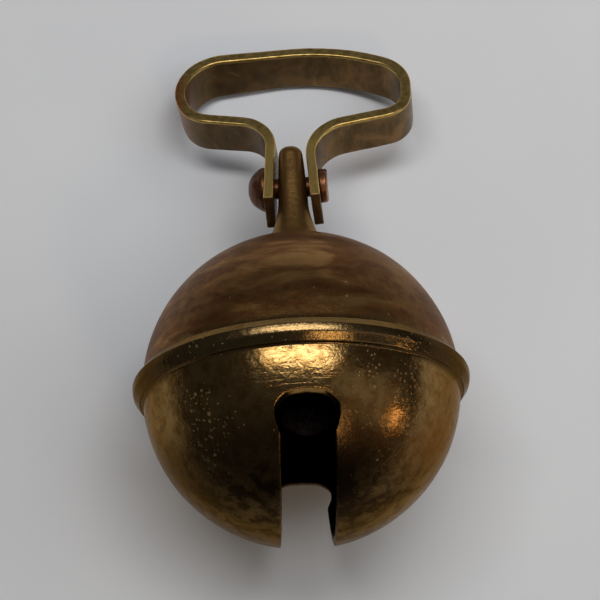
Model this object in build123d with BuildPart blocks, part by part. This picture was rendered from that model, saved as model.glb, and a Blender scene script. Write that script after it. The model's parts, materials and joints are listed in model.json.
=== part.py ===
"""Cast brass crotal bell with a riveted strap handle, lying on its side.

Four separate pieces: the hollow bell with its ring, slot and lug; the bent strap
handle; the copper rivet that the handle turns on; and the loose iron pellet inside.
Millimetres. +Z is up from the surface that the bell lies on, X is the rivet's axis,
and the handle points to +Y. The origin is the bottom centre of the whole object.
"""

import os
from math import asin, atan2, cos, degrees, hypot, radians, sin, sqrt, tan

from build123d import *

# Bell casting
shell_radius = 38.0          # outside of the sphere, a 3 inch bell
wall = 2.8
ring_radius = 40.3           # raised ring round the equator
ring_foot_radius = 38.7      # where each bevel ends, just proud of the shell
ring_face = 2.0              # height of the ring's flat outer face
ring_height = 5.8
ring_softening = 0.4

# Sound slot: two keyholes that meet over the mouth pole. Distances below the
# equator run along the bell's axis.
slot_turn = 4.8              # the slot is this many degrees out of line with the lug
slot_half_width = 5.97
slot_pole_half_width = 6.27
hole_half_width = 7.0
hole_top = 12.8
hole_shoulder = 13.6
hole_shoulder_half_width = 4.6
hole_upper = 16.0
hole_lower = 18.6
hole_neck = 21.4
slot_edge_softening = 0.4

# Lug: height along the axis, width across the cheeks, depth
lug_sections = [
    (34.5, 17.0, 17.0),
    (38.0, 13.2, 14.8),
    (41.5, 10.3, 13.5),
    (46.0, 8.0, 12.5),
    (53.5, 7.2, 11.8),
    (63.4, 6.0, 11.0),
]
lug_shift = 0.28             # the lug stands this far towards +X
lug_corner_share = 0.46      # corner radius as a share of the width
lug_top_softening = 2.2

# Rivet
pivot_height = 53.5          # from the centre of the bell, along its axis
shank_radius = 2.5
running_fit = 0.05           # radial, shank in the lug's bore
head_radius = 5.5            # domed head, on the -X side
head_height = 4.9
head_rim = 0.6               # straight rim under the dome
tail_radius = 4.25           # flat upset tail, on the +X side
tail_height = 2.1
tail_softening = 0.5

# Strap handle, bent by hand and not quite even: corners of the strap's inner
# surface as (across, from the rivet), and the bend radius at each
strap_width = 11.6
strap_thickness = 2.7
strap_softening = 0.35
right_arm_end = (4.95, -8.0)
right_arm_top = (3.6, 16.3)
right_low_corner = (28.5, 20.9)
right_top_corner = (29.3, 33.0)
crown_corner = (10.8, 41.9)
left_top_corner = (-29.5, 39.5)
left_low_corner = (-23.9, 23.4)
left_arm_top = (-2.75, 18.9)
left_arm_end = (-4.45, -8.0)
arm_bend = 10.0
right_low_bend = 5.0
right_top_bend = 8.6
crown_bend = 50.0
left_top_bend = 10.0
left_low_bend = 6.5

# Pellet
pellet_radius = 9.0
pellet_clearance = 0.3

# The bell lies on its ring and on the far edge of the handle's crown, which
# together set how far its axis dips towards the handle.
handle_fold = 16.0           # the handle leans this many degrees from the bell's axis
fold = radians(handle_fold)
right_slope, left_slope = (
    atan2(crown_corner[1] - corner[1], abs(crown_corner[0] - corner[0]))
    for corner in (right_top_corner, left_top_corner)
)
crown_rounding = (sin(right_slope) + sin(left_slope)) / sin(right_slope + left_slope) - 1
crown_reach = crown_corner[1] - crown_bend * crown_rounding + strap_thickness
crown_contact_reach = crown_reach - strap_softening
crown_contact_depth = strap_width / 2 - strap_softening
bevel_turn = atan2(ring_radius - ring_foot_radius, (ring_height - ring_face) / 2)
ring_contact_radius = ring_radius - ring_softening
ring_contact_height = ring_face / 2 - ring_softening * tan(bevel_turn / 2)
rise = ring_contact_radius - crown_contact_reach * sin(fold) - crown_contact_depth * cos(fold)
run = (
    pivot_height
    - ring_contact_height
    + crown_contact_reach * cos(fold)
    - crown_contact_depth * sin(fold)
)
axis_dip = atan2(rise, run) - asin((strap_softening - ring_softening) / hypot(rise, run))
handle_dip = axis_dip + fold

# Places
centre_height = (
    ring_contact_radius * cos(axis_dip)
    + ring_contact_height * sin(axis_dip)
    + ring_softening
)
mouth_reach = sqrt(shell_radius**2 - slot_half_width**2)
handle_end = (
    pivot_height * cos(axis_dip)
    + crown_contact_reach * cos(handle_dip)
    + crown_contact_depth * sin(handle_dip)
    + strap_softening
)
centre = Vector(0, (mouth_reach - handle_end) / 2, centre_height)
bell_direction = Vector(0, cos(axis_dip), -sin(axis_dip))
pivot = centre + bell_direction * pivot_height
bell_axis = Axis(centre, bell_direction)
rivet_axis = Axis(pivot, (1, 0, 0))

# Planes: local Y runs along the bell's axis, or along the handle
bell_plane = Plane(origin=centre, x_dir=(1, 0, 0), z_dir=(0, sin(axis_dip), cos(axis_dip)))
slot_plane = bell_plane.rotated((0, slot_turn, 0))
handle_plane = Plane(origin=pivot, x_dir=(1, 0, 0), z_dir=(0, sin(handle_dip), cos(handle_dip)))
rivet_plane = Plane(origin=pivot, z_dir=(1, 0, 0))


def across_bell(height):
    """The plane square to the bell's axis, this far from its centre."""
    return Plane(origin=centre + bell_direction * height, x_dir=(1, 0, 0), z_dir=bell_direction)


# ---------------------------------------------------------------- bell_body
cavity_radius = shell_radius - wall
lug_foot_width = lug_sections[0][1]

with BuildPart() as bell_body:
    # sphere and ring, turned about the bell's axis
    with BuildSketch(bell_plane):
        with BuildLine():
            CenterArc((0, 0), shell_radius, -90, 180)
            Line((0, shell_radius), (0, -shell_radius))
        make_face()
    revolve(axis=bell_axis)
    with BuildSketch(bell_plane):
        with BuildLine():
            Polyline(
                (cavity_radius, ring_height / 2),
                (ring_foot_radius, ring_height / 2),
                (ring_radius, ring_face / 2),
                (ring_radius, -ring_face / 2),
                (ring_foot_radius, -ring_height / 2),
                (cavity_radius, -ring_height / 2),
                close=True,
            )
        make_face()
        fillet(vertices().group_by(Axis.X)[-1], ring_softening)
    revolve(axis=bell_axis)

    # lug, tapering up from a flared foot
    for height, width, depth in lug_sections:
        with BuildSketch(across_bell(height)):
            with Locations((lug_shift, 0)):
                RectangleRounded(width, depth, width * lug_corner_share)
    loft()
    fillet(faces().sort_by(bell_axis)[-1].edges(), lug_top_softening)

    # bore for the rivet, across the lug
    with BuildSketch(rivet_plane):
        Circle(shank_radius + running_fit)
    extrude(amount=lug_foot_width, both=True, mode=Mode.SUBTRACT)

    # the hollow
    with BuildSketch(bell_plane):
        with BuildLine():
            CenterArc((0, 0), cavity_radius, -90, 180)
            Line((0, cavity_radius), (0, -cavity_radius))
        make_face()
    revolve(axis=bell_axis, mode=Mode.SUBTRACT)

    # keyhole slot, cut straight through both sides and the mouth
    with BuildSketch(slot_plane):
        with BuildLine():
            Spline(
                (0, -hole_top),
                (hole_shoulder_half_width, -hole_shoulder),
                (hole_half_width, -hole_upper),
                (hole_half_width, -hole_lower),
                (slot_half_width, -hole_neck),
                tangents=[(1, 0), (0, -1)],
            )
            Polyline(
                (slot_half_width, -hole_neck),
                (slot_pole_half_width, -ring_radius),
                (0, -ring_radius),
            )
            mirror(about=Plane.YZ)
        make_face()
    extrude(amount=ring_radius, both=True, mode=Mode.SUBTRACT)

    # soften the slot's outer edges, the ones that lie on the sphere
    slot_rim = edges(Select.LAST).filter_by(
        lambda edge: abs((edge @ 0.5 - centre).length - shell_radius) < running_fit
    )
    fillet(slot_rim, slot_edge_softening)

# ------------------------------------------------------------- handle_strap
corners = [
    right_arm_end,
    right_arm_top,
    right_low_corner,
    right_top_corner,
    crown_corner,
    left_top_corner,
    left_low_corner,
    left_arm_top,
    left_arm_end,
]
bends = [
    arm_bend,
    right_low_bend,
    right_top_bend,
    crown_bend,
    left_top_bend,
    left_low_bend,
    arm_bend,
]

with BuildPart() as handle_strap:
    with BuildSketch(handle_plane):
        with BuildLine():
            inner = FilletPolyline(*corners, radius=bends)
            offset(inner, amount=strap_thickness, side=Side.RIGHT, closed=True)
        make_face()
    extrude(amount=strap_width / 2, both=True)
    with BuildSketch(rivet_plane):
        Circle(shank_radius)
    extrude(amount=lug_foot_width, both=True, mode=Mode.SUBTRACT)
    fillet(faces().filter_by(handle_plane).edges(), strap_softening)

# -------------------------------------------------------------------- rivet
cut_reach = head_radius * 1.5


def outer_faces(arm_end, arm_top):
    """How far an arm's outer face is from the middle: below, at and above the rivet."""
    lean = (abs(arm_end[0]) - abs(arm_top[0])) / (arm_top[1] - arm_end[1])
    level = abs(arm_end[0]) + lean * arm_end[1] + strap_thickness * hypot(1, lean)
    return level + lean * cut_reach, level, level - lean * cut_reach


right_low, right_face, right_high = outer_faces(right_arm_end, right_arm_top)
left_low, left_face, left_high = outer_faces(left_arm_end, left_arm_top)

dome_height = head_height - head_rim
dome_radius = (head_radius**2 + dome_height**2) / (2 * dome_height)
dome_centre = dome_radius - left_face - head_height
dome_angle = degrees(asin(head_radius / dome_radius))

with BuildPart() as rivet:
    # head and tail, turned about the rivet's axis
    with BuildSketch(handle_plane):
        with BuildLine():
            CenterArc((dome_centre, 0), dome_radius, 180 - dome_angle, dome_angle)
            Polyline(
                (-left_face - head_rim, head_radius),
                (0, head_radius),
                (0, 0),
                (-left_face - head_height, 0),
            )
        make_face()
        with BuildLine():
            Polyline(
                (0, 0),
                (right_face + tail_height, 0),
                (right_face + tail_height, tail_radius),
                (0, tail_radius),
                close=True,
            )
        make_face()
        fillet(vertices().group_by(Axis.X)[-1].sort_by(Axis.Y)[-1], tail_softening)
    revolve(axis=rivet_axis)

    # their undersides lie flat against the leaning arms
    with BuildSketch(handle_plane):
        with BuildLine():
            Polyline(
                (-left_low, -cut_reach),
                (right_low, -cut_reach),
                (right_high, cut_reach),
                (-left_high, cut_reach),
                close=True,
            )
        make_face()
    extrude(amount=cut_reach, both=True, mode=Mode.SUBTRACT)

    # shank
    with BuildSketch(rivet_plane):
        Circle(shank_radius)
    extrude(amount=right_low, both=True)

# ------------------------------------------------------------------- pellet
# at rest in the lowest place of the hollow
pellet_drop = cavity_radius - pellet_radius - pellet_clearance

with BuildPart(Plane(origin=centre - Vector(0, 0, pellet_drop))) as pellet:
    Sphere(pellet_radius)

# --------------------------------------------------------------- STEP files
os.makedirs("parts", exist_ok=True)

bell_body.part.label = "bell_body"
export_step(bell_body.part, "parts/bell_body.step")

handle_strap.part.label = "handle_strap"
export_step(handle_strap.part, "parts/handle_strap.step")

rivet.part.label = "rivet"
export_step(rivet.part, "parts/rivet.step")

pellet.part.label = "pellet"
export_step(pellet.part, "parts/pellet.step")
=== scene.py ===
"""Looks of an old cast brass crotal bell with a riveted strap handle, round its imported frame.

Everything is in metres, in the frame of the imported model. MM turns millimetres into metres.
"""

import json
import math

import bmesh
import bpy
import numpy as np
from mathutils import Matrix, Vector


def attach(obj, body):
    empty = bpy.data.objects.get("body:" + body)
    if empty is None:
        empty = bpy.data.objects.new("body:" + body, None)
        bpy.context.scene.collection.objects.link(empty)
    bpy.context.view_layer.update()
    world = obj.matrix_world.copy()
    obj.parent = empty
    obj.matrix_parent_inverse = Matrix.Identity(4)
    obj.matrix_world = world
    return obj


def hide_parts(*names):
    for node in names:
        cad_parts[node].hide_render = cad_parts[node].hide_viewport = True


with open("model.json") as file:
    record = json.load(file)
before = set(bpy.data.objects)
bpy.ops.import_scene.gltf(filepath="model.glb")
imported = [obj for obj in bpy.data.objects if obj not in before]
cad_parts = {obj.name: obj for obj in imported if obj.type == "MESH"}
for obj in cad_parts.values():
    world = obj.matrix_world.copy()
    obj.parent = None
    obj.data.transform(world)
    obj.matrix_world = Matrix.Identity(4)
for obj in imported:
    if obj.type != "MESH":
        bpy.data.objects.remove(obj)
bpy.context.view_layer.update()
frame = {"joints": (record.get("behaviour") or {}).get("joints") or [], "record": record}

MM = 0.001

# ------------------------------------------------------------------ the frame
JOINTS = {joint["name"]: joint for joint in frame["joints"]}
PIVOT = np.array(JOINTS["handle_swing"]["pos_m"])
CENTRE = np.array(JOINTS["pellet_roll"]["pos_m"])
ACROSS = np.array([1.0, 0.0, 0.0])
PIVOT_HEIGHT = np.linalg.norm(PIVOT - CENTRE)
ALONG = (PIVOT - CENTRE) / PIVOT_HEIGHT                     # the bell's axis, mouth to lug
UPWARD = np.cross(ACROSS, ALONG)
LOOP_NORMAL = np.array(frame["record"]["mounts"][0]["axis"], float)  # square to the handle
HANDLE_WAY = np.cross(LOOP_NORMAL, ACROSS)                  # from the rivet to the crown
AXIS_DIP = math.atan2(-ALONG[2], ALONG[1])
HANDLE_DIP = math.atan2(-HANDLE_WAY[2], HANDLE_WAY[1])

# ---------------------------------------------------------- sizes of the bell
SHELL = 38.0 * MM
WALL = 2.8 * MM
RING = 40.3 * MM
RING_FOOT = 38.7 * MM
RING_FACE = 2.0 * MM
RING_HEIGHT = 5.8 * MM
RING_SOFTENING = 0.5 * MM
RING_WORN = 0.25 * MM            # how much lower its face is at the mouth side
RING_ROOT = 0.5 * MM             # the fillet where the ring meets the sphere

SLOT_TURN = math.radians(4.8)
SLOT_SIDE = 5.97 * MM
SLOT_POLE_SIDE = 6.27 * MM
SLOT_NECK = 21.4 * MM
# a quarter of the keyhole's outline in millimetres, as (across, below the equator)
KEYHOLE = [(0.0, 12.8), (4.6, 13.6), (7.0, 16.0), (7.0, 18.6), (5.97, 21.4)]
SLOT_EDGE = 0.75 * MM

# the lug's sections in millimetres: height along the axis, width across the cheeks, depth
LUG_HEIGHTS = [34.5, 38.0, 41.5, 46.0, 53.5, 63.4]
LUG_WIDTHS = [17.0, 13.2, 10.3, 8.0, 7.2, 6.0]
LUG_DEPTHS = [17.0, 14.8, 13.5, 12.5, 11.8, 11.0]
LUG_SHIFT = 0.28 * MM            # it stands this far towards +X
LUG_CORNER = 0.46                # corner radius as a share of the width
LUG_TOP_SOFTENING = 2.2 * MM
LUG_LEAST_CORNER = 0.15 * MM     # the least corner radius where its top rounds in
LUG_ROOT = 2.0 * MM              # the fillet where it meets the sphere
BORE = 2.55 * MM

CAST_LOSS = 0.06 * MM            # how far the whole casting stays inside its drawn sizes
# the (wavelength, depth) of the wide and of the small hollows in each surface
CAST_HOLLOWS = (26 * MM, 0.10 * MM), (7 * MM, 0.05 * MM)
STRAP_HOLLOWS = (14 * MM, 0.10 * MM), (5 * MM, 0.05 * MM)
HAMMER_HOLLOWS = (6 * MM, 0.28 * MM), (2.2 * MM, 0.07 * MM)

# -------------------------------------------- sizes of the handle and the rest
STRAP_WIDTH = 11.6 * MM
STRAP_THICKNESS = 2.85 * MM      # in the loop
ARM_THICKNESS = 2.5 * MM         # hammered thinner round the rivet
ARM_THINNED = (8.0, 16.0)        # millimetres from the rivet between which it thickens
STRAP_STEP = 0.55 * MM
STRAP_SOFTENING = 0.5 * MM
STRAP_WORN = 1.0 * MM            # how far the bright wear reaches in from the edges
LOWER_EDGE_WEAR = 0.3            # the wear of its lower edge against its upper one
# The corners of the strap's inner surface in millimetres, as (across, from the rivet), and
# how far its upper edge stands off from its lower one there, as it was bent by hand.
STRAP_CORNERS = [
    ((4.95, -8.0), (-0.3, 0.0)),
    ((3.5, 16.3), (0.2, -0.1)),
    ((28.5, 20.9), (0.2, -0.4)),
    ((29.3, 32.9), (-0.6, 1.9)),
    ((10.8, 41.7), (0.7, -0.7)),
    ((-29.5, 39.3), (-0.6, 2.1)),
    ((-23.9, 23.4), (-1.2, -0.5)),
    ((-2.3, 19.2), (-1.5, -1.0)),
    ((-3.575, 7.0), (-0.05, 0.0)),
    ((-4.3, -8.0), (0.0, 0.0)),
]
# the bend radius at each corner between its ends, in millimetres
STRAP_BENDS = [11.4, 5.0, 8.6, 50.0, 10.0, 6.5, 10.0, 20.0]          # along its upper edge
STRAP_LOW_BENDS = [11.4, 5.0, 8.6, 50.0, 8.7, 6.2, 10.0, 20.0]       # along its lower edge

SHANK = 2.5 * MM
HEAD_RADIUS = 5.5 * MM
HEAD_HEIGHT = 4.65 * MM
HEAD_RIM = 0.6 * MM
TAIL_RADIUS = 4.25 * MM
TAIL_HEIGHT = 2.1 * MM
TAIL_SOFTENING = 0.6 * MM

PELLET_RADIUS = 9.0 * MM
PELLET_CLEARANCE = 0.3 * MM


# -------------------------------------------------------------------- helpers
def unit(vectors):
    return vectors / np.linalg.norm(vectors, axis=-1, keepdims=True)


def waves(points, wavelength, seed, count=30):
    """Smooth seeded noise of about -1 to 1 over points in metres."""
    rng = np.random.default_rng(seed)
    ways = unit(rng.normal(size=(count, 3)))
    numbers = 2 * math.pi / (wavelength * rng.uniform(0.7, 1.6, count))
    phases = rng.uniform(0, 2 * math.pi, count)
    total = np.sin(points @ (ways * numbers[:, None]).T + phases).sum(1)
    return np.clip(total / math.sqrt(2 * count), -1, 1)


def hermite(at, places, values):
    """A smooth line through the values at those places."""
    places, values = np.asarray(places, float), np.asarray(values, float)
    slopes = np.gradient(values, places)
    span = np.clip(np.searchsorted(places, at) - 1, 0, len(places) - 2)
    gap = places[span + 1] - places[span]
    s = (at - places[span]) / gap
    return (
        (2 * s**3 - 3 * s**2 + 1) * values[span]
        + (s**3 - 2 * s**2 + s) * gap * slopes[span]
        + (3 * s**2 - 2 * s**3) * values[span + 1]
        + (s**3 - s**2) * gap * slopes[span + 1]
    )


class Skin:
    """Closed rows of points joined one after another into a surface."""

    def __init__(self):
        self.rows, self.faces, self.wear, self.count = [], [], [], 0

    def row(self, points, wear=0.0):
        points = np.atleast_2d(points)
        index = np.arange(len(points)) + self.count
        self.rows.append(points)
        self.wear.append(np.broadcast_to(wear, len(points)))
        self.count += len(points)
        return index

    def join(self, a, b):
        """Joins two closed rows of equal count, or with half as many, or with one point."""
        if len(b) > len(a):
            a, b = b, a
        a1 = np.roll(a, -1)
        if len(b) == 1:
            self.faces += [(p, q, b[0]) for p, q in zip(a, a1)]
        elif len(a) == len(b):
            self.faces += list(zip(a, a1, np.roll(b, -1), b))
        else:
            b1 = np.roll(b, -1)
            for i in range(len(b)):
                p, q, r = a[2 * i], a[2 * i + 1], a[(2 * i + 2) % len(a)]
                self.faces += [(p, q, b[i]), (q, b1[i], b[i]), (q, r, b1[i])]

    def chain(self, rows, wears=None, after=None):
        """Adds rows one after another and gives the last one's index."""
        for i, points in enumerate(rows):
            index = self.row(points, 0.0 if wears is None else wears[i])
            if after is not None:
                self.join(after, index)
            after = index
        return after

    def mesh(self, name):
        points = np.concatenate(self.rows)
        data = bpy.data.meshes.new(name)
        faces = [tuple(int(i) for i in face) for face in self.faces]
        data.from_pydata(points.tolist(), [], faces)
        data.update()
        attribute = data.attributes.new("wear", "FLOAT", "POINT")
        attribute.data.foreach_set("value", np.concatenate(self.wear).astype(np.float32))
        return data


def vertex_values(data, name):
    """Every vertex's place ("co") or normal ("normal")."""
    out = np.zeros(len(data.vertices) * 3, np.float32)
    data.vertices.foreach_get(name, out)
    return out.reshape(-1, 3).astype(float)


def push(data, amount):
    """Moves each vertex along its normal by its amount, in metres."""
    points = vertex_values(data, "co") + vertex_values(data, "normal") * np.asarray(amount)[:, None]
    data.vertices.foreach_set("co", points.astype(np.float32).ravel())
    data.update()


def hollows(points, seed, wide, small):
    """How deep uneven hollows go at each point. wide and small are (wavelength, depth)."""
    wide_share = waves(points, wide[0], seed) * 0.5 + 0.5
    small_share = waves(points, small[0], seed + 1, 40) * 0.5 + 0.5
    return wide_share * wide[1] + small_share * small[1]


def shade_smooth(data):
    for polygon in data.polygons:
        polygon.use_smooth = True


def outward(data):
    """Turns the faces so that they look out of the solid."""
    mesh = bmesh.new()
    mesh.from_mesh(data)
    bmesh.ops.recalc_face_normals(mesh, faces=mesh.faces)
    mesh.to_mesh(data)
    mesh.free()
    shade_smooth(data)


def piece(data, body, nodes, material):
    """The mesh as a piece of the object, riding on a body in place of its CAD nodes."""
    thing = bpy.data.objects.new(data.name, data)
    bpy.context.scene.collection.objects.link(thing)
    data.materials.append(material)
    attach(thing, body)
    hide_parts(*nodes)
    return thing


def bend_between(start, corner, end, count):
    """Rows of a smooth bend from start to end, pulled towards the corner."""
    shares = np.linspace(0, 1, count)
    return [(1 - s) ** 2 * start + 2 * s * (1 - s) * corner + s**2 * end for s in shares]


def slerp(a, b, share):
    """Points a share of the way round a sphere from a to b, both measured from its centre."""
    la, lb = (np.linalg.norm(points, axis=1, keepdims=True) for points in (a, b))
    ua, ub = a / la, b / lb
    angle = np.arccos(np.clip((ua * ub).sum(1, keepdims=True), -1, 1))
    way = (np.sin((1 - share) * angle) * ua + np.sin(share * angle) * ub) / np.sin(angle)
    return way * (la * (1 - share) + lb * share)


# ------------------------------------------------------------- the bell's form
QUARTER = 108                    # columns in a quarter of the bell


def quarter_places(count):
    """The place of each column in its quarter, and its signs across and upward.

    Columns go from the upper middle over +X to the lower middle, and back over -X.
    """
    turn = np.arange(4 * count) / count
    within = np.where(turn % 2 <= 1, turn % 2, 2 - turn % 2)
    side = np.where(turn <= 2, 1.0, -1.0)
    upper = np.where((turn <= 1) | (turn >= 3), 1.0, -1.0)
    return within, side, upper


def keyhole_line(count=160):
    """One quarter of a keyhole's outline, as (across, below the equator)."""
    points = np.array(KEYHOLE) * MM
    way = np.r_[0, np.cumsum(np.hypot(*np.diff(points, axis=0).T))]
    at = np.linspace(0, way[-1], count)
    return np.c_[hermite(at, way, points[:, 0]), hermite(at, way, points[:, 1])]


KEYHOLE_LINE = keyhole_line()


def rim(place, radius):
    """Points of a quarter of the slot's rim on a sphere, as (across, below, out).

    Place 0 to 1 runs round the keyhole, and 1 to 2 from its neck to the mouth pole.
    """
    spot = np.clip(place, 0, 1) * (len(KEYHOLE_LINE) - 1)
    steps = np.arange(len(KEYHOLE_LINE))
    u = np.interp(spot, steps, KEYHOLE_LINE[:, 0])
    v = np.interp(spot, steps, KEYHOLE_LINE[:, 1])
    down = np.clip(place - 1, 0, 1)
    for _ in range(3):           # each pass brings the widening side closer to its sphere
        reach = np.sqrt(radius**2 - u**2)
        start = np.arcsin(SLOT_NECK / np.sqrt(radius**2 - SLOT_SIDE**2))
        side_v = reach * np.sin(start + down * (math.pi / 2 - start))
        past_neck = (side_v - SLOT_NECK) / (RING - SLOT_NECK)
        side_u = SLOT_SIDE + (SLOT_POLE_SIDE - SLOT_SIDE) * past_neck
        u = np.where(place > 1, side_u, u)
    v = np.where(place > 1, side_v, v)
    return u, v, np.sqrt(np.maximum(radius**2 - u**2 - v**2, 0))


def even_places(count):
    """Places along a quarter of the rim, evenly spaced on the outside of the shell."""
    place = np.linspace(0, 2, 2000)
    line = np.stack(rim(place, SHELL), 1)
    way = np.r_[0, np.cumsum(np.linalg.norm(np.diff(line, axis=0), axis=1))]
    return np.interp(np.linspace(0, way[-1], count + 1), way, place)


SLOT_X = ACROSS * math.cos(SLOT_TURN) - UPWARD * math.sin(SLOT_TURN)
SLOT_Z = ACROSS * math.sin(SLOT_TURN) + UPWARD * math.cos(SLOT_TURN)


def in_slot_frame(x, y, z):
    """Places from the bell's centre, given across the slot, along the bell and out of the slot."""
    return x[:, None] * SLOT_X + y[:, None] * ALONG + z[:, None] * SLOT_Z


def rim_row(radius):
    within, side, upper = quarter_places(QUARTER)
    places = np.interp(within, np.linspace(0, 1, QUARTER + 1), even_places(QUARTER))
    u, v, w = rim(places, radius)
    return in_slot_frame(side * u, -v, upper * w)


def circle_row(radius, height, count=QUARTER):
    turn = np.arange(4 * count) / (4 * count) * 2 * math.pi
    heights = np.full(len(turn), height)
    return in_slot_frame(radius * np.sin(turn), heights, radius * np.cos(turn))


def arc(centre, radius, start, end, count):
    """Points of an arc in a profile, with angles in degrees."""
    turn = np.radians(np.linspace(start, end, count))
    return [(centre[0] + radius * math.cos(t), centre[1] + radius * math.sin(t)) for t in turn]


def ring_profile():
    """The ring's section as (radius, height, wear), from the mouth side to the lug side."""
    soft, foot_height = RING_SOFTENING, RING_HEIGHT / 2
    slope = math.atan2(RING - RING_FOOT, foot_height - RING_FACE / 2)
    corner_height = RING_FACE / 2 - soft * math.tan(slope / 2)
    face = [(RING, height) for height in np.linspace(0, corner_height, 5)[:-1]]
    corner = arc((RING - soft, corner_height), soft, 0, math.degrees(slope), 6)
    foot = np.array([RING_FOOT, foot_height])
    bevel = [np.array(corner[-1]) * (1 - s) + foot * s for s in (0.2, 0.4, 0.6, 0.8, 0.95)]
    under_foot, past_foot = (
        np.array([math.sqrt(SHELL**2 - height**2), height])
        for height in (foot_height, foot_height + RING_ROOT)
    )
    root = bend_between(foot, under_foot, past_foot, 6)
    upper = [
        (radius, height, wear)
        for points, wear in ((face, 0.6), (corner, 1.0), (bevel, 0.35), (root, 0.0))
        for radius, height in points
    ]
    lower = [(radius, -height, wear) for radius, height, wear in upper[1:]][::-1]
    profile = []
    for radius, height, wear in lower + upper:
        # worn down towards the mouth side of its face, and less again on the bevel there
        worn = np.clip((1 - 2 * height / RING_FACE) / 2, 0, 1) ** 2
        worn *= np.clip((foot_height + height) / (foot_height - RING_FACE / 2), 0, 1)
        profile.append((radius - RING_WORN * worn, height, wear))
    return profile


def lug_outline(height, count, inset=0.0):
    """A row round the lug at one height, or at a height for each column, from the axis."""
    within, side, upper = quarter_places(count)
    height = np.broadcast_to(np.asarray(height, float) / MM, within.shape)
    half_width = hermite(height, LUG_HEIGHTS, LUG_WIDTHS) * MM / 2
    half_depth = hermite(height, LUG_HEIGHTS, LUG_DEPTHS) * MM / 2
    corner = 2 * half_width * LUG_CORNER
    half_width, half_depth = half_width - inset, half_depth - inset
    corner = np.maximum(corner - inset, LUG_LEAST_CORNER)
    front, flank = half_width - corner, half_depth - corner
    bend = corner * math.pi / 2
    way = within * (front + bend + flank)
    turn = np.clip((way - front) / corner, 0, math.pi / 2)
    x = np.minimum(way, front) + corner * np.sin(turn)
    z = half_depth - corner * (1 - np.cos(turn)) - np.maximum(way - front - bend, 0)
    return side * x + LUG_SHIFT, upper * z


def lug_row(height, count, inset=0.0):
    x, z = lug_outline(height, count, inset)
    height = np.broadcast_to(np.asarray(height, float), x.shape)
    return x[:, None] * ACROSS + height[:, None] * ALONG + z[:, None] * UPWARD


def lug_foot(count):
    """The height at which each column of the lug leaves the sphere."""
    height = np.full(4 * count, 36.5 * MM)       # a first guess, which settles below
    for _ in range(12):
        x, z = lug_outline(height, count)
        height = np.sqrt(SHELL**2 - x**2 - z**2)
    return height


def open_bore(skin, first, end):
    """Opens the hole across the lug, in the faces between two counts of the skin's points.

    It takes out the faces inside the bore on both cheeks, brings the edges left there
    onto the bore's circle, and joins the two edges by a tube.
    """
    points = np.concatenate(skin.rows)
    across, along, upward = points @ ACROSS, points @ ALONG - PIVOT_HEIGHT, points @ UPWARD
    radius = np.hypot(along, upward)
    gone = {
        face for face in skin.faces
        if first <= min(face) and max(face) < end and np.mean([radius[i] for i in face]) < BORE
    }
    skin.faces = [face for face in skin.faces if face not in gone]
    used = {i for face in skin.faces for i in face}
    edge = sorted({i for face in gone for i in face} & used)
    loops = []
    for cheek in (1, -1):
        loop = [i for i in edge if across[i] * cheek > 0]
        loop.sort(key=lambda i: math.atan2(upward[i], along[i]))
        for i in loop:
            points[i] += (BORE / radius[i] - 1) * (along[i] * ALONG + upward[i] * UPWARD)
        loops.append(np.array(loop))
    start = 0
    for k, row in enumerate(skin.rows):
        skin.rows[k] = points[start : start + len(row)]
        start += len(row)
    near, far = (points[loop] for loop in loops)
    tube = [near * (1 - s) + far * s for s in (0.25, 0.5, 0.75)]
    skin.join(skin.chain(tube, after=loops[0]), loops[1])


def add_hollow(skin):
    """The inside of the shell, from its crown to the slot. Gives the last row's index."""
    radius = SHELL - WALL
    rows = [
        circle_row(radius * math.sin(turn), radius * math.cos(turn), QUARTER // 2)
        for turn in np.linspace(0, math.pi / 2, 34)[1:]
    ]
    equator, slot = rows[-1], rim_row(radius)[::2]
    rows += [slerp(equator, slot, s) for s in np.linspace(0, 1, 36)[1:-1]]
    return skin.chain(rows, after=skin.row(ALONG * radius))


def add_slot(skin, last, towards):
    """The slot's wall and its rounded outer edge, which ends on the way to the ring's row.

    Gives the last row's index and its points.
    """
    inner, outer = rim_row(SHELL - WALL), rim_row(SHELL)
    edge = SLOT_EDGE * (1.0 + 0.3 * waves(outer, 9 * MM, 3))[:, None]
    start = outer + unit(inner - outer) * edge
    end = slerp(outer, towards, edge / np.linalg.norm(towards - outer, axis=1, keepdims=True))
    wall = [inner * (1 - s) + start * s for s in np.linspace(0, 1, 7)[1:-1]]
    last = skin.chain([inner] + wall, [0.5] + [0.1] * len(wall), after=last)
    rounding = bend_between(start, outer, end, 7)
    # the rounded edge's wear also sets where cast_brass paints a glint on the keyhole's rim
    return skin.chain(rounding, [0.5, 0.8, 1, 1, 1, 0.8, 0.5], after=last), end


def add_lug_half(skin, last, start):
    """The sphere from the ring to where the lug's fillet begins.

    Gives the last row's index, and the points at which the fillet leaves the sphere.
    """
    foot = lug_row(lug_foot(QUARTER // 2), QUARTER // 2)
    reach = LUG_ROOT / np.linalg.norm(start - foot, axis=1, keepdims=True)
    leave = slerp(foot, start, reach)
    rows = [slerp(start, leave, s) for s in np.linspace(0, 1, 48)[1:-1]]
    return skin.chain(rows, after=last), leave


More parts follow.
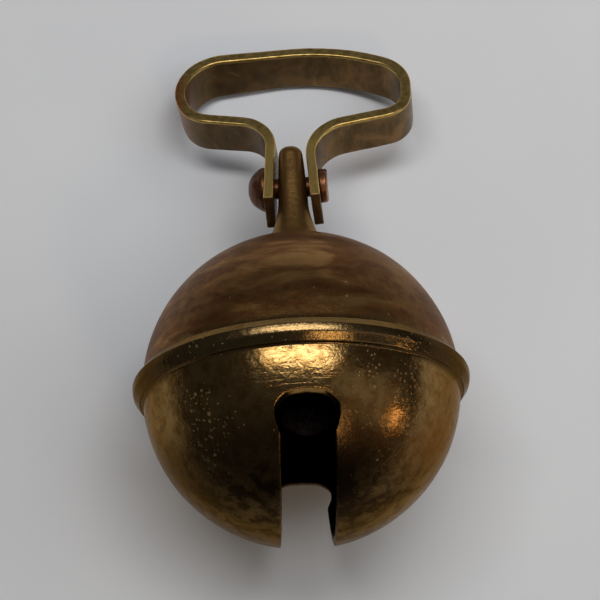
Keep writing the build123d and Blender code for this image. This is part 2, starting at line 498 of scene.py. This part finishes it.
def add_lug(skin, last, leave):
    """The lug's fillet, its cheeks with their bore, and its rounded top."""
    count = QUARTER // 4
    foot = lug_foot(count)
    start, top = foot + LUG_ROOT, LUG_HEIGHTS[-1] * MM - LUG_TOP_SOFTENING
    fillet = bend_between(leave[::2], lug_row(foot, count), lug_row(start, count), 7)
    last = skin.chain(fillet, after=last)
    first = skin.count
    cheeks = [lug_row(start * (1 - s) + top * s, count) for s in np.linspace(0, 1, 46)[1:]]
    last = skin.chain(cheeks, after=last)
    end = skin.count
    cap = [
        lug_row(top + LUG_TOP_SOFTENING * math.sin(turn), count, LUG_TOP_SOFTENING * (1 - math.cos(turn)))
        for turn in np.radians(np.linspace(0, 90, 9)[1:])
    ]
    flat = cap[-1]
    middle = flat.mean(0)
    cap += [middle + (flat - middle) * share for share in (0.5, 0.15)] + [middle]
    skin.chain(cap, [0.6] * len(cap), after=last)
    open_bore(skin, first, end)


def bell_mesh():
    """The bell's whole skin: hollow, slot, mouth half, ring, lug half and lug."""
    skin = Skin()
    ring = ring_profile()
    ring_rows = [circle_row(radius, height) for radius, height, _ in ring]
    last = add_hollow(skin)
    last, slot_end = add_slot(skin, last, ring_rows[0])
    mouth_half = [slerp(slot_end, ring_rows[0], s) for s in np.linspace(0, 1, 88)[1:-1]]
    last = skin.chain(mouth_half, after=last)
    last = skin.chain(ring_rows, [wear for _, _, wear in ring], after=last)
    last, leave = add_lug_half(skin, last, circle_row(*ring[-1][:2], QUARTER // 2))
    add_lug(skin, last, leave)
    skin.rows = [row + CENTRE for row in skin.rows]
    data = skin.mesh("bell")
    outward(data)
    return data


def cast_softness(data):
    """The uneven surface of an old casting, never proud of the CAD form."""
    points = vertex_values(data, "co")
    radius = np.linalg.norm(points - CENTRE, axis=1)
    outside = np.clip((radius - (SHELL - WALL / 2)) / (0.3 * MM), 0, 1)
    push(data, -(CAST_LOSS + hollows(points, 11, *CAST_HOLLOWS)) * outside)


# ------------------------------------------------------------ the handle's form
def line_parts(corners, bends):
    """A line's straight runs and round bends in turn, as (length, points for shares of it)."""

    def run(start, end):
        return np.linalg.norm(end - start), lambda share: start + (end - start) * share[:, None]

    def bend(start, middle, turn):
        arm = start - middle
        across = np.array([-arm[1], arm[0]])

        def points(share):
            angle = (turn * share)[:, None]
            return middle + np.cos(angle) * arm + np.sin(angle) * across

        return abs(turn) * np.linalg.norm(arm), points

    ways = unit(np.diff(corners, axis=0))
    here, parts = corners[0], []
    for corner, radius, before, after in zip(corners[1:], bends, ways, ways[1:]):
        turn = math.atan2(before[0] * after[1] - before[1] * after[0], before @ after)
        cut = radius * math.tan(abs(turn) / 2)
        left = np.array([-before[1], before[0]]) * math.copysign(1, turn)
        start = corner - before * cut
        parts += [run(here, start), bend(start, start + left * radius, turn)]
        here = corner + after * cut
    return parts + [run(here, corners[-1])]


def along_line(parts, counts):
    """Points along a line and its outward normals, with so many points in each part."""
    points = [
        part(np.linspace(0, 1, count, endpoint=False)) for (_, part), count in zip(parts, counts)
    ]
    points = np.concatenate(points + [parts[-1][1](np.ones(1))])
    way = unit(np.gradient(points, axis=0))
    return points, np.c_[way[:, 1], -way[:, 0]]


def strap_section(across_count=22, thick_count=5, corner_count=6):
    """The strap's section as (outward, sideways, wear), one closed row of points."""
    soft, thick, half = STRAP_SOFTENING, STRAP_THICKNESS, STRAP_WIDTH / 2
    centres = [
        (thick - soft, half - soft),
        (soft, half - soft),
        (soft, soft - half),
        (thick - soft, soft - half),
    ]
    out = []
    # each corner of the section is followed by the side that comes after it
    for k, centre in enumerate(centres):
        corner = arc(centre, soft, 90 * k, 90 * k + 90, corner_count)
        out += [(*point, 1.0 if k < 2 else LOWER_EDGE_WEAR) for point in corner]
        start = np.array(corner[-1])
        end = np.array(arc(centres[(k + 1) % 4], soft, 90 * k + 90, 90 * k + 90, 1)[0])
        is_edge = k % 2 == 0
        for t in np.linspace(0, 1, (thick_count if is_edge else across_count) + 2)[1:-1]:
            from_edge = min(t, 1 - t) * np.linalg.norm(end - start)
            wear = 1.0 if is_edge else max(0.0, 1 - from_edge / STRAP_WORN)
            point = start * (1 - t) + end * t
            out.append((*point, wear if point[1] > 0 else LOWER_EDGE_WEAR * wear))
    return np.array(out)


def strap_rows(section):
    """A row of points round the strap at each place along it, from one arm to the other."""
    corners = np.array([corner for corner, _ in STRAP_CORNERS]) * MM
    twists = np.array([twist for _, twist in STRAP_CORNERS]) * MM
    low_parts = line_parts(corners - twists / 2, np.array(STRAP_LOW_BENDS) * MM)
    high_parts = line_parts(corners + twists / 2, np.array(STRAP_BENDS) * MM)
    counts = [max(2, round(length / STRAP_STEP)) for length, _ in high_parts]
    low, low_out = along_line(low_parts, counts)
    high, high_out = along_line(high_parts, counts)
    share = section[:, 1:2] / STRAP_WIDTH + 0.5
    loop = np.interp(low[:, 1] / MM, ARM_THINNED, (0, 1))        # 0 in the arms, 1 in the loop
    thin = (ARM_THICKNESS + (STRAP_THICKNESS - ARM_THICKNESS) * loop) / STRAP_THICKNESS
    rows = []
    for i in range(len(low)):
        out = unit(low_out[i] * (1 - share) + high_out[i] * share)
        flat = low[i] * (1 - share) + high[i] * share + section[:, :1] * thin[i] * out
        rows.append(
            PIVOT + flat[:, :1] * ACROSS + flat[:, 1:] * HANDLE_WAY + section[:, 1:2] * LOOP_NORMAL
        )
    return rows


def strap_end(row, way):
    """Rows that draw in over the last bit of an arm, from its cut end inwards."""
    middle = row.mean(0)
    arm = row - middle
    length = np.linalg.norm(arm, axis=1, keepdims=True)
    out = []
    for turn in np.radians([90, 60, 30]):
        inset = STRAP_SOFTENING * (1 - math.cos(turn))
        back = STRAP_SOFTENING * (1 - math.sin(turn))
        out.append(middle + arm * (1 - inset / np.maximum(length, inset * 2)) - way * back)
    return out


def strap_mesh():
    """The handle: one bar of rectangular section bent from one arm round to the other."""
    section = strap_section()
    rows = strap_rows(section)
    first_end = strap_end(rows[0], unit(rows[0].mean(0) - rows[1].mean(0)))
    last_end = strap_end(rows[-1], unit(rows[-1].mean(0) - rows[-2].mean(0)))[::-1]
    bar = rows[1:-1]
    wears = [0.0] * len(first_end) + [section[:, 2]] * len(bar) + [0.0] * len(last_end)
    skin = Skin()
    last = skin.chain(first_end + bar + last_end, wears)
    count = len(section)
    for start in (0, last[0]):                   # close both cut ends
        for i in range(count // 2 - 1):
            corners = (i, i + 1, count - 2 - i, count - 1 - i)
            skin.faces.append(tuple(start + k for k in corners))
    data = skin.mesh("handle_strap_skin")
    outward(data)
    return data


def hand_bent(data):
    """The strap's own unevenness: hammer hollows on its faces and wavy edges."""
    push(data, -hollows(vertex_values(data, "co"), 21, *STRAP_HOLLOWS))


# -------------------------------------------------------------- rivet and pellet
def arm_face(end, top):
    """The outer face of an arm: how far it is from the middle at the rivet, and its lean."""
    lean = (abs(end[0]) - abs(top[0])) / (top[1] - end[1])
    return (abs(end[0]) + lean * end[1]) * MM + ARM_THICKNESS * math.hypot(1, lean), lean


def rivet_mesh(columns=96):
    """The rivet, turned about its own axis: domed head, shank and flat upset tail."""
    ends = [corner for corner, _ in STRAP_CORNERS]
    right, right_lean = arm_face(ends[0], ends[1])
    left, left_lean = arm_face(ends[-1], ends[-2])
    dome = HEAD_HEIGHT - HEAD_RIM
    dome_radius = (HEAD_RADIUS**2 + dome**2) / (2 * dome)
    dome_edge = math.acos((dome_radius - dome) / dome_radius)
    head_end, tail_end = -left - HEAD_HEIGHT, right + TAIL_HEIGHT
    tail_flat = TAIL_RADIUS - TAIL_SOFTENING
    tail_corner = arc((tail_flat, tail_end - TAIL_SOFTENING), TAIL_SOFTENING, 0, 90, 6)[1:]
    turn = np.arange(columns) / columns * 2 * math.pi
    ring = np.cos(turn)[:, None] * HANDLE_WAY + np.sin(turn)[:, None] * LOOP_NORMAL

    def circle(x, radius, follow):
        """A circle on the rivet's axis. follow leans it with the arm, as the undersides do."""
        lean = left_lean if x < 0 else -right_lean
        shift = x + follow * lean * radius * np.cos(turn)
        return PIVOT + shift[:, None] * ACROSS + radius * ring

    # (place along the axis, radius, how far it follows the arm's lean, wear), from the head
    circles = [
        (head_end + dome_radius * (1 - math.cos(a)), dome_radius * math.sin(a), 0, 0.4)
        for a in np.linspace(0, dome_edge, 26)[1:]
    ]
    circles += [(HEAD_RIM * (s - 1) - left, HEAD_RADIUS, s, 0.6) for s in (0.35, 0.7, 0.95)]
    circles += [(-left, radius, 1, 0.0) for radius in (HEAD_RADIUS * 0.98, HEAD_RADIUS * 0.7, SHANK)]
    circles += [(right * s - left * (1 - s), SHANK, 0, 0.0) for s in np.linspace(0, 1, 8)[1:-1]]
    circles += [(right, radius, 1, 0.0) for radius in (SHANK, TAIL_RADIUS * 0.8, TAIL_RADIUS * 0.98)]
    circles += [(right + TAIL_HEIGHT * s, TAIL_RADIUS, 1 - s, 0.6) for s in (0.1, 0.3, 0.5, 0.7)]
    circles += [(x, radius, 0, 1.0) for radius, x in tail_corner]
    circles += [(tail_end, tail_flat * s, 0, 0.3) for s in (0.8, 0.6, 0.4, 0.2)]
    skin = Skin()
    rows = [circle(x, radius, follow) for x, radius, follow, _ in circles]
    start = skin.row(PIVOT + ACROSS * head_end, 0.6)
    last = skin.chain(rows, [wear for *_, wear in circles], after=start)
    skin.join(last, skin.row(PIVOT + ACROSS * tail_end, 0.3))
    data = skin.mesh("rivet_skin")
    outward(data)
    return data


def hammered(data):
    """Hammer marks on the rivet's head and tail, and none between the arms."""
    points = vertex_values(data, "co")
    reach = np.abs((points - PIVOT) @ ACROSS)
    outer = np.clip((reach - 7.6 * MM) / (0.8 * MM), 0, 1)
    push(data, -hollows(points, 31, *HAMMER_HOLLOWS) * outer)


def pellet_mesh():
    """The loose iron pellet: a ball with a cast seam and a rough skin."""
    drop = SHELL - WALL - PELLET_RADIUS - PELLET_CLEARANCE
    mesh = bmesh.new()
    bmesh.ops.create_icosphere(mesh, subdivisions=6, radius=PELLET_RADIUS)
    data = bpy.data.meshes.new("pellet_skin")
    mesh.to_mesh(data)
    mesh.free()
    shade_smooth(data)
    points = vertex_values(data, "co")
    lump = waves(points, 6 * MM, 41) * 0.5 + 0.5
    rough = waves(points, 1.6 * MM, 42, 60) * 0.5 + 0.5
    seam = np.exp(-((points[:, 1] / (0.35 * MM)) ** 2))
    push(data, (0.10 * (seam - 1 - rough) - 0.16 * lump) * MM)
    data.transform(Matrix.Translation(Vector(CENTRE) - Vector((0, 0, drop))))
    return data


# ------------------------------------------------------------------- materials
class Paint:
    """A short way to write a material's nodes. Numbers set sockets and sockets link them."""

    def __init__(self, name):
        self.material = bpy.data.materials.new(name)
        self.material.use_nodes = True
        self.tree = self.material.node_tree
        self.tree.nodes.clear()
        self.shader = self.node("BsdfPrincipled")
        output = self.node("OutputMaterial")
        self.tree.links.new(self.shader.outputs[0], output.inputs["Surface"])

    def node(self, kind, **settings):
        made = self.tree.nodes.new("ShaderNode" + kind)
        for key, value in settings.items():
            setattr(made, key, value)
        return made

    def put(self, socket, value):
        if isinstance(value, bpy.types.NodeSocket):
            self.tree.links.new(value, socket)
        else:
            socket.default_value = value

    def place(self, origin, dip):
        """Coordinates in millimetres about a point, with Y along a way that dips by an angle."""
        coordinate = self.node("TexCoord")
        mapping = self.node("Mapping", vector_type="TEXTURE")
        self.put(mapping.inputs["Vector"], coordinate.outputs["Object"])
        mapping.inputs["Location"].default_value = tuple(origin)
        mapping.inputs["Rotation"].default_value = (-dip, 0, 0)
        mapping.inputs["Scale"].default_value = (MM, MM, MM)
        return mapping.outputs[0]

    def turned(self, vector, rotation=(0, 0, 0), scale=(1, 1, 1)):
        mapping = self.node("Mapping")
        self.put(mapping.inputs["Vector"], vector)
        mapping.inputs["Rotation"].default_value = tuple(math.radians(a) for a in rotation)
        mapping.inputs["Scale"].default_value = scale
        return mapping.outputs[0]

    def noise(self, vector, scale, detail=3.0, rough=0.55, distortion=0.0):
        made = self.node("TexNoise")
        self.put(made.inputs["Vector"], vector)
        made.inputs["Scale"].default_value = scale
        made.inputs["Detail"].default_value = detail
        made.inputs["Roughness"].default_value = rough
        made.inputs["Distortion"].default_value = distortion
        return made.outputs[0]

    def cells(self, vector, scale):
        """Random cells: how far each place is from its cell's middle, and the cell's colour."""
        made = self.node("TexVoronoi", feature="F1")
        self.put(made.inputs["Vector"], vector)
        made.inputs["Scale"].default_value = scale
        return made.outputs["Distance"], made.outputs["Color"]

    def parts(self, vector):
        """The three parts of a vector or a colour."""
        made = self.node("SeparateXYZ")
        self.put(made.inputs[0], vector)
        return made.outputs["X"], made.outputs["Y"], made.outputs["Z"]

    def length(self, vector):
        made = self.node("VectorMath", operation="LENGTH")
        self.put(made.inputs[0], vector)
        return made.outputs["Value"]

    def math(self, operation, a, b=0.0, clamp=False):
        made = self.node("Math", operation=operation, use_clamp=clamp)
        self.put(made.inputs[0], a)
        self.put(made.inputs[1], b)
        return made.outputs[0]

    def times(self, first, *others):
        for other in others:
            first = self.math("MULTIPLY", first, other)
        return first

    def plus(self, first, *others):
        for other in others:
            first = self.math("ADD", first, other)
        return first

    def minus(self, first, *others):
        for other in others:
            first = self.math("SUBTRACT", first, other)
        return first

    def step(self, value, low, high, start=0.0, end=1.0):
        """A smooth step from start to end as the value goes from low to high."""
        made = self.node("MapRange", interpolation_type="SMOOTHSTEP")
        self.put(made.inputs["Value"], value)
        for name, number in zip(("From Min", "From Max", "To Min", "To Max"), (low, high, start, end)):
            self.put(made.inputs[name], number)
        return made.outputs[0]

    def mix(self, share, a, b):
        """A mix of two colours."""
        made = self.node("Mix", data_type="RGBA")
        self.put(made.inputs["Factor"], share)
        for socket, value in ((made.inputs[6], a), (made.inputs[7], b)):
            self.put(socket, value if isinstance(value, bpy.types.NodeSocket) else (*value, 1.0))
        return made.outputs[2]

    def attribute(self, name):
        return self.node("Attribute", attribute_name=name).outputs["Fac"]

    def bump(self, height, distance):
        made = self.node("Bump")
        self.put(made.inputs["Height"], height)
        made.inputs["Distance"].default_value = distance
        return made.outputs[0]

    def finish(self, colour, roughness, metallic, normal):
        self.put(self.shader.inputs["Base Color"], colour)
        self.put(self.shader.inputs["Roughness"], roughness)
        self.put(self.shader.inputs["Metallic"], metallic)
        self.put(self.shader.inputs["Normal"], normal)
        return self.material


# Colours are linear red, green and blue. Distances in the materials are millimetres.
GOLD, DEEP_GOLD, RING_GOLD = (0.32, 0.200, 0.075), (0.21, 0.110, 0.032), (0.20, 0.135, 0.060)
TARNISH, WARM_TARNISH = (0.115, 0.043, 0.014), (0.22, 0.095, 0.029)
WORN_TARNISH, LUG_TARNISH = (0.42, 0.228, 0.080), (0.26, 0.140, 0.045)
GRIME, THIN_GRIME = (0.030, 0.018, 0.009), (0.085, 0.046, 0.016)
# in the line below, the warm grime is grime painted lighter and warmer: painted light on the mouth half's
# +X side
LIT_SIDE_GRIME, MOUTH_GRIME = (0.19, 0.080, 0.020), (0.018, 0.011, 0.006)
RING_END_GRIME, HOLLOW_GRIME = (0.060, 0.034, 0.015), (0.016, 0.011, 0.007)
# in the line below, the peach is worn rim brass painted brighter: partly wear, partly a painted glint
PEACH_WEAR_AND_GLINT, PIT_DIRT = (0.62, 0.34, 0.12), (0.17, 0.125, 0.080)
TARNISH_TINT, GRIME_TINT = (0.88, 0.79, 0.71), (0.74, 0.59, 0.45)

OLIVE, LIGHT_OLIVE, BROWN_OLIVE = (0.110, 0.066, 0.024), (0.155, 0.093, 0.033), (0.235, 0.130, 0.048)
DARK_OLIVE, COPPER_STAIN, COPPER_EDGE = (0.060, 0.038, 0.018), (0.36, 0.12, 0.035), (0.50, 0.18, 0.05)
EDGE_BRASS, DULL_EDGE = (0.72, 0.51, 0.175), (0.46, 0.31, 0.095)
# in the line below, the arm edge colour is worn brass painted brighter than brass can be: painted light
ARM_EDGE_WEAR_AND_LIGHT, FRESH_SCRATCH = (1.0, 0.70, 0.22), (0.85, 0.66, 0.28)

DARK_COPPER, RED_COPPER, WORN_COPPER = (0.075, 0.028, 0.014), (0.15, 0.055, 0.025), (0.47, 0.20, 0.085)
IRON, RUST, DARK_RUST = (0.022, 0.019, 0.017), (0.075, 0.032, 0.015), (0.045, 0.021, 0.012)
# in the line below, the far paper colour is painted shade for the sheet far from the bell
PAPER, PALE_PAPER, FAR_PAPER_SHADE = (0.73, 0.75, 0.79), (0.76, 0.78, 0.81), (0.22, 0.22, 0.23)


def casting_pits(p, at, off_middle, height, broad, fine):
    """Pits, thickest to the sides of the mouth half, as 1 in a pit and 0 outside."""
    flank = p.times(p.step(off_middle, 9.0, 17.0), p.step(height, -28.0, -20.0),
                    p.step(height, 6.0, 2.0), p.step(p.noise(at, 0.13, 2), 0.42, 0.60))
    crowd = p.plus(p.times(flank, 0.7), p.step(broad, 0.35, 0.65, 0.01, 0.06))
    pit = 0.0
    for scale, reach in ((0.62, 0.17), (1.05, 0.20)):
        distance, colour = p.cells(at, scale)
        chance, size, depth = p.parts(colour)
        edge = p.times(p.step(size, 0.0, 1.0, 0.6, 1.5), reach)
        ragged = p.plus(distance, p.step(fine, 0.3, 0.7, -0.06, 0.06))
        spot = p.times(p.step(p.minus(edge, ragged), -0.05, 0.05),
                       p.math("LESS_THAN", chance, crowd), p.step(depth, 0.0, 1.0, 0.3, 1.0))
        pit = p.math("MAXIMUM", spot, pit)
    return pit


def cast_brass():
    """Old cast brass: gold where it is worn, brown tarnish on the lug half and towards the
    mouth, near black inside, with small pits full of pale dirt. A painted glint brightens the
    keyhole's rim, and painted light makes the mouth half lighter on its +X side."""
    p = Paint("cast_brass")
    at = p.place(CENTRE, AXIS_DIP)
    side, height, _ = p.parts(at)
    off_middle, off_equator = p.math("ABSOLUTE", side), p.math("ABSOLUTE", height)
    broad = p.noise(at, 0.045, 3, 0.6, 0.6)
    banded = p.noise(p.turned(at, scale=(0.05, 0.16, 0.05)), 1.0, 4, 0.6, 0.4)
    mottle = p.noise(at, 0.35, 5, 0.62)
    fine = p.noise(at, 2.4, 4, 0.6)
    lug_half = p.step(height, 2.0, 5.0)
    hollow = p.step(p.length(at), 35.3, 36.4, 1.0, 0.0)
    pit = casting_pits(p, at, off_middle, height, broad, fine)
    wear = p.times(p.attribute("wear"), p.step(off_middle, 20.0, 37.0, 1.0, 0.2),
                   p.step(height, -27.0, -19.0, 0.15, 1.0))

    # how brown: over the lug half, and on the mouth half away from the ring; less so on its +X side, as
    # painted light for the brighter light that side reflects
    mouth = p.times(p.step(height, -10.0, -22.0), p.step(side, 8.0, 28.0, 0.92, 0.5))
    brown = p.plus(p.times(lug_half, 0.85), mouth, p.step(broad, 0.42, 0.66, -0.05, 0.3),
                   p.step(mottle, 0.42, 0.72, -0.12, 0.25), p.step(off_middle, 24.0, 35.0, 0.0, 0.3))
    brown = p.math("SUBTRACT", brown, p.times(wear, 0.6), clamp=True)

    gold = p.mix(p.step(mottle, 0.35, 0.7), GOLD, DEEP_GOLD)
    gold = p.mix(p.step(off_equator, 4.0, 2.0, 0.0, 0.75), gold, RING_GOLD)
    tarnish = p.mix(p.step(banded, 0.38, 0.60), TARNISH, WARM_TARNISH)
    tarnish = p.mix(p.step(banded, 0.54, 0.68), tarnish, WORN_TARNISH)
    tarnish = p.mix(p.step(height, 36.0, 31.0), LUG_TARNISH, tarnish)
    grime_and_lit_side = p.mix(p.step(mottle, 0.35, 0.65), GRIME, THIN_GRIME)
    # painted light: the grime is painted lighter and warmer towards +X, for the brighter light reflected
    # on that side
    grime_and_lit_side = p.mix(p.step(side, 4.0, 24.0, 0.0, 0.8), grime_and_lit_side, LIT_SIDE_GRIME)
    grime_and_lit_side = p.mix(p.step(height, -19.0, -31.0, 0.0, 0.95), grime_and_lit_side, MOUTH_GRIME)
    colour = p.mix(brown, gold, p.mix(lug_half, grime_and_lit_side, tarnish))
    ring_ends = p.times(p.step(off_middle, 20.0, 34.0, 0.0, 0.95), p.step(off_equator, 5.0, 2.6))
    colour = p.mix(ring_ends, colour, RING_END_GRIME)
    # painted glint: the worn rounded rim near the keyhole is painted bright peach, partly its wear and
    # partly a glint of light on it
    slot_rim = p.times(p.step(wear, 0.7, 1.0), p.step(height, -6.0, -9.0))
    colour = p.mix(slot_rim, colour, PEACH_WEAR_AND_GLINT)
    colour = p.mix(p.times(pit, 0.6), colour, PIT_DIRT)
    colour = p.mix(hollow, colour, HOLLOW_GRIME)

    rough = p.plus(p.times(brown, 0.10), p.step(fine, 0.3, 0.7, 0.14, 0.22), p.times(lug_half, 0.14),
                   p.times(wear, 0.08), p.times(p.math("MAXIMUM", pit, hollow), 0.35))
    dull = p.plus(p.times(brown, 0.06), p.times(pit, 0.45))
    metallic = p.math("SUBTRACT", 1.0, dull, clamp=True)

    # fine scratches that lean up to the right, on the mouth half and the ring
    lines = p.noise(p.turned(at, rotation=(0, 0, -40), scale=(0.12, 3.2, 0.12)), 1.0, 2, 0.5)
    scratch = p.times(p.step(lines, 0.58, 0.70), p.step(height, 3.5, 1.5))
    lumps = p.noise(at, 0.8, 2, 0.5, 0.5)
    level = p.plus(p.times(fine, 0.20), p.times(mottle, 0.7), p.times(lumps, 0.45))
    level = p.minus(level, p.times(pit, 0.8), p.times(scratch, 0.06))
    p.put(p.shader.inputs["Specular Tint"], p.mix(lug_half, GRIME_TINT, TARNISH_TINT))
    return p.finish(colour, rough, metallic, p.bump(level, 0.12 * MM))


def strap_brass():
    """Rolled brass: dark olive brown tarnish on the faces, worn bright along the edges, with painted
    light making the arms' edges near the rivet brighter still.
    """
    p = Paint("strap_brass")
    at = p.place(PIVOT, HANDLE_DIP)
    side, along, _ = p.parts(at)
    mottle = p.noise(at, 0.16, 4, 0.6, 0.4)
    streaks = p.noise(p.turned(at, scale=(0.7, 0.7, 0.12)), 1.0, 4, 0.6)
    fine = p.noise(at, 2.0, 4, 0.6)
    rub = p.math("ADD", p.attribute("wear"), p.step(streaks, 0.3, 0.7, -0.12, 0.10), clamp=True)
    left_end = p.step(side, -24.0, -30.0)

    dark = p.mix(p.step(streaks, 0.30, 0.70), OLIVE, LIGHT_OLIVE)
    dark = p.mix(p.step(mottle, 0.40, 0.66), dark, BROWN_OLIVE)
    dark = p.mix(p.step(side, 14.0, -6.0, 0.0, 0.45), dark, DARK_OLIVE)
    dark = p.mix(left_end, dark, COPPER_STAIN)
    bright = p.mix(p.step(streaks, 0.35, 0.65), EDGE_BRASS, DULL_EDGE)
    # painted light: near the rivet the arms' worn edges are painted brighter than worn brass, making up
    # for the shade the arms lie in
    bright = p.mix(p.step(along, 17.0, 8.0), bright, ARM_EDGE_WEAR_AND_LIGHT)
    bright = p.mix(left_end, bright, COPPER_EDGE)
    colour = p.mix(p.step(rub, 0.35, 0.85), dark, bright)
    lines = p.noise(p.turned(at, rotation=(0, 0, 25), scale=(0.15, 4.0, 0.15)), 1.0, 2, 0.5)
    scratch = p.step(lines, 0.62, 0.72)
    colour = p.mix(p.times(scratch, p.step(rub, 0.3, 0.9, 0.08, 0.4)), colour, FRESH_SCRATCH)

    rough = p.step(fine, 0.3, 0.7, 0.30, 0.42)
    metallic = p.step(rub, 0.2, 0.8, 0.8, 1.0)
    level = p.minus(p.plus(p.times(fine, 0.3), p.times(mottle, 0.7)), p.times(scratch, 0.10))
    return p.finish(colour, rough, metallic, p.bump(level, 0.08 * MM))


def rivet_copper():
    """Hammered copper, dark red brown with a bright worn patch on the tail."""
    p = Paint("rivet_copper")
    at = p.place(PIVOT, AXIS_DIP)
    mottle = p.noise(at, 0.5, 5, 0.6, 0.5)
    fine = p.noise(at, 3.0, 4, 0.6)
    tail = p.step(p.parts(at)[0], 7.5, 8.8)
    worn = p.plus(p.times(tail, 0.8), p.times(p.attribute("wear"), 0.2))
    rub = p.times(worn, p.step(mottle, 0.35, 0.6))
    dark = p.mix(p.step(fine, 0.35, 0.7), DARK_COPPER, RED_COPPER)
    colour = p.mix(rub, dark, WORN_COPPER)
    rough = p.step(fine, 0.3, 0.7, 0.30, 0.46)
    metallic = p.step(rub, 0.0, 0.6, 0.8, 1.0)
    level = p.plus(p.times(fine, 0.3), p.times(mottle, 0.7))
    return p.finish(colour, rough, metallic, p.bump(level, 0.12 * MM))


def pellet_iron():
    """Rough cast iron under a thin brown rust."""
    p = Paint("pellet_iron")
    at = p.place(CENTRE, AXIS_DIP)
    mottle = p.noise(at, 0.3, 6, 0.65, 0.4)
    fine = p.noise(at, 2.2, 5, 0.65)
    rust = p.step(mottle, 0.40, 0.62)
    colour = p.mix(rust, IRON, RUST)
    colour = p.mix(p.step(fine, 0.55, 0.75), colour, DARK_RUST)
    rough = p.step(fine, 0.3, 0.7, 0.55, 0.85)
    metallic = p.step(rust, 0.2, 0.8, 0.8, 0.15)
    level = p.plus(p.times(fine, 0.6), p.times(mottle, 0.4))
    return p.finish(colour, rough, metallic, p.bump(level, 0.25 * MM))


def pale_paper():
    """A plain pale sheet with a faint tooth, with painted shade that darkens it far from the bell."""
    p = Paint("pale_paper")
    at = p.place((0, 0, 0), 0)
    tooth = p.noise(at, 1.5, 3, 0.6)
    colour = p.mix(p.step(p.noise(at, 0.01, 2, 0.5), 0.3, 0.7), PAPER, PALE_PAPER)
    # painted shade: the sheet darkens away from the bell, standing in for the light falling off
    colour = p.mix(p.step(p.length(at), 180, 700), colour, FAR_PAPER_SHADE)
    rough = p.step(tooth, 0.3, 0.7, 0.8, 0.95)
    p.put(p.shader.inputs["Specular IOR Level"], 0.2)
    return p.finish(colour, rough, 0.0, p.bump(tooth, 0.03 * MM))


# ------------------------------------------------------- floor, lights, camera
FLOOR_REACH = 2.0
LIGHT_DISTANCE = 0.9
ROOM_GLOW = (0.05, 0.05, 0.053, 1)

# the camera looks nearly straight down, from the mouth's side, with the handle at the top
CAMERA_DISTANCE = 12 * SHELL
CAMERA_LENS, CAMERA_SENSOR = 114.66, 36          # both in millimetres
CAMERA_TILT = 0.3981             # between its view and a plane square to the bell's axis
CAMERA_ROLL = -0.0493
CAMERA_SWING = math.radians(1.95) - SLOT_TURN
CAMERA_AIM = np.array([0.00075, 0.04685, 1.0])   # the way to the bell: right, down, forward


def lay_floor():
    r = FLOOR_REACH
    data = bpy.data.meshes.new("floor")
    data.from_pydata([(-r, -r, 0), (r, -r, 0), (r, r, 0), (-r, r, 0)], [], [(0, 1, 2, 3)])
    data.materials.append(pale_paper())
    floor = bpy.data.objects.new("floor", data)
    bpy.context.scene.collection.objects.link(floor)


def soft_light(name, elevation, azimuth, width, height, power, colour):
    """A rectangular light that looks at the bell. Azimuth 0 is over +Y and 90 over +X. It is
    returned so that it can be kept out of the reflections."""
    light = bpy.data.lights.new(name, "AREA")
    light.shape = "RECTANGLE"
    light.size, light.size_y = width, height
    light.energy, light.color = power, colour
    e, a = math.radians(elevation), math.radians(azimuth)
    away = Vector((math.sin(a) * math.cos(e), math.cos(a) * math.cos(e), math.sin(e)))
    side = Vector((0, 0, 1)).cross(away).normalized()
    lamp = bpy.data.objects.new(name, light)
    lamp.location = Vector(CENTRE) + away * LIGHT_DISTANCE
    lamp.rotation_mode = "QUATERNION"
    lamp.rotation_quaternion = Matrix((side, away.cross(side), away)).transposed().to_quaternion()
    bpy.context.scene.collection.objects.link(lamp)
    return lamp


def light_scene():
    soft_light("key", 71, 6, 0.76, 0.17, 3.6, (1.0, 0.98, 0.95))
    fill = soft_light("fill", 56, 70, 0.8, 0.7, 2.5, (0.95, 0.98, 1.0))
    fill.visible_glossy = False          # it only brightens the sheet and the shadows
    soft_light("wall", 38, 105, 0.5, 0.8, 0.30, (1.0, 0.90, 0.80))
    soft_light("lamp", 14, 112, 0.06, 0.06, 0.22, (1.0, 0.66, 0.34))
    soft_light("window", 50, 150, 0.15, 0.15, 0.55, (1.0, 0.72, 0.42))
    world = bpy.data.worlds.new("room")
    world.use_nodes = True
    world.node_tree.nodes["Background"].inputs["Color"].default_value = ROOM_GLOW
    bpy.context.scene.world = world
    bpy.context.scene.view_settings.view_transform = "Standard"


def about_z(a):
    return np.array([[math.cos(a), -math.sin(a), 0], [math.sin(a), math.cos(a), 0], [0, 0, 1]])


def set_camera():
    tilt_sin, tilt_cos = math.sin(CAMERA_TILT), math.cos(CAMERA_TILT)
    lean = np.array([[1, 0, 0], [0, tilt_sin, -tilt_cos], [0, tilt_cos, tilt_sin]])
    turn = about_z(CAMERA_ROLL) @ lean @ about_z(CAMERA_SWING)
    right, down, forward = turn @ np.stack([ACROSS, -UPWARD, ALONG])
    to_bell = unit(CAMERA_AIM) @ np.stack([right, down, forward]) * CAMERA_DISTANCE
    data = bpy.data.cameras.new("camera")
    data.sensor_width, data.lens = CAMERA_SENSOR, CAMERA_LENS
    data.clip_start, data.clip_end = 0.01, 20
    camera = bpy.data.objects.new("camera", data)
    world = np.eye(4)
    world[:3, :3] = np.stack([right, -down, -forward], 1)
    world[:3, 3] = CENTRE - to_bell
    camera.matrix_world = Matrix(world.tolist())
    bpy.context.scene.collection.objects.link(camera)
    bpy.context.scene.camera = camera


# ------------------------------------------------------------------- the object
bell = bell_mesh()
cast_softness(bell)
piece(bell, "bell", ["bell_body"], cast_brass())

strap = strap_mesh()
hand_bent(strap)
piece(strap, "handle", ["handle_strap"], strap_brass())

rivet = rivet_mesh()
hammered(rivet)
piece(rivet, "handle", ["rivet"], rivet_copper())

piece(pellet_mesh(), "pellet", ["pellet"], pellet_iron())

lay_floor()
light_scene()
set_camera()
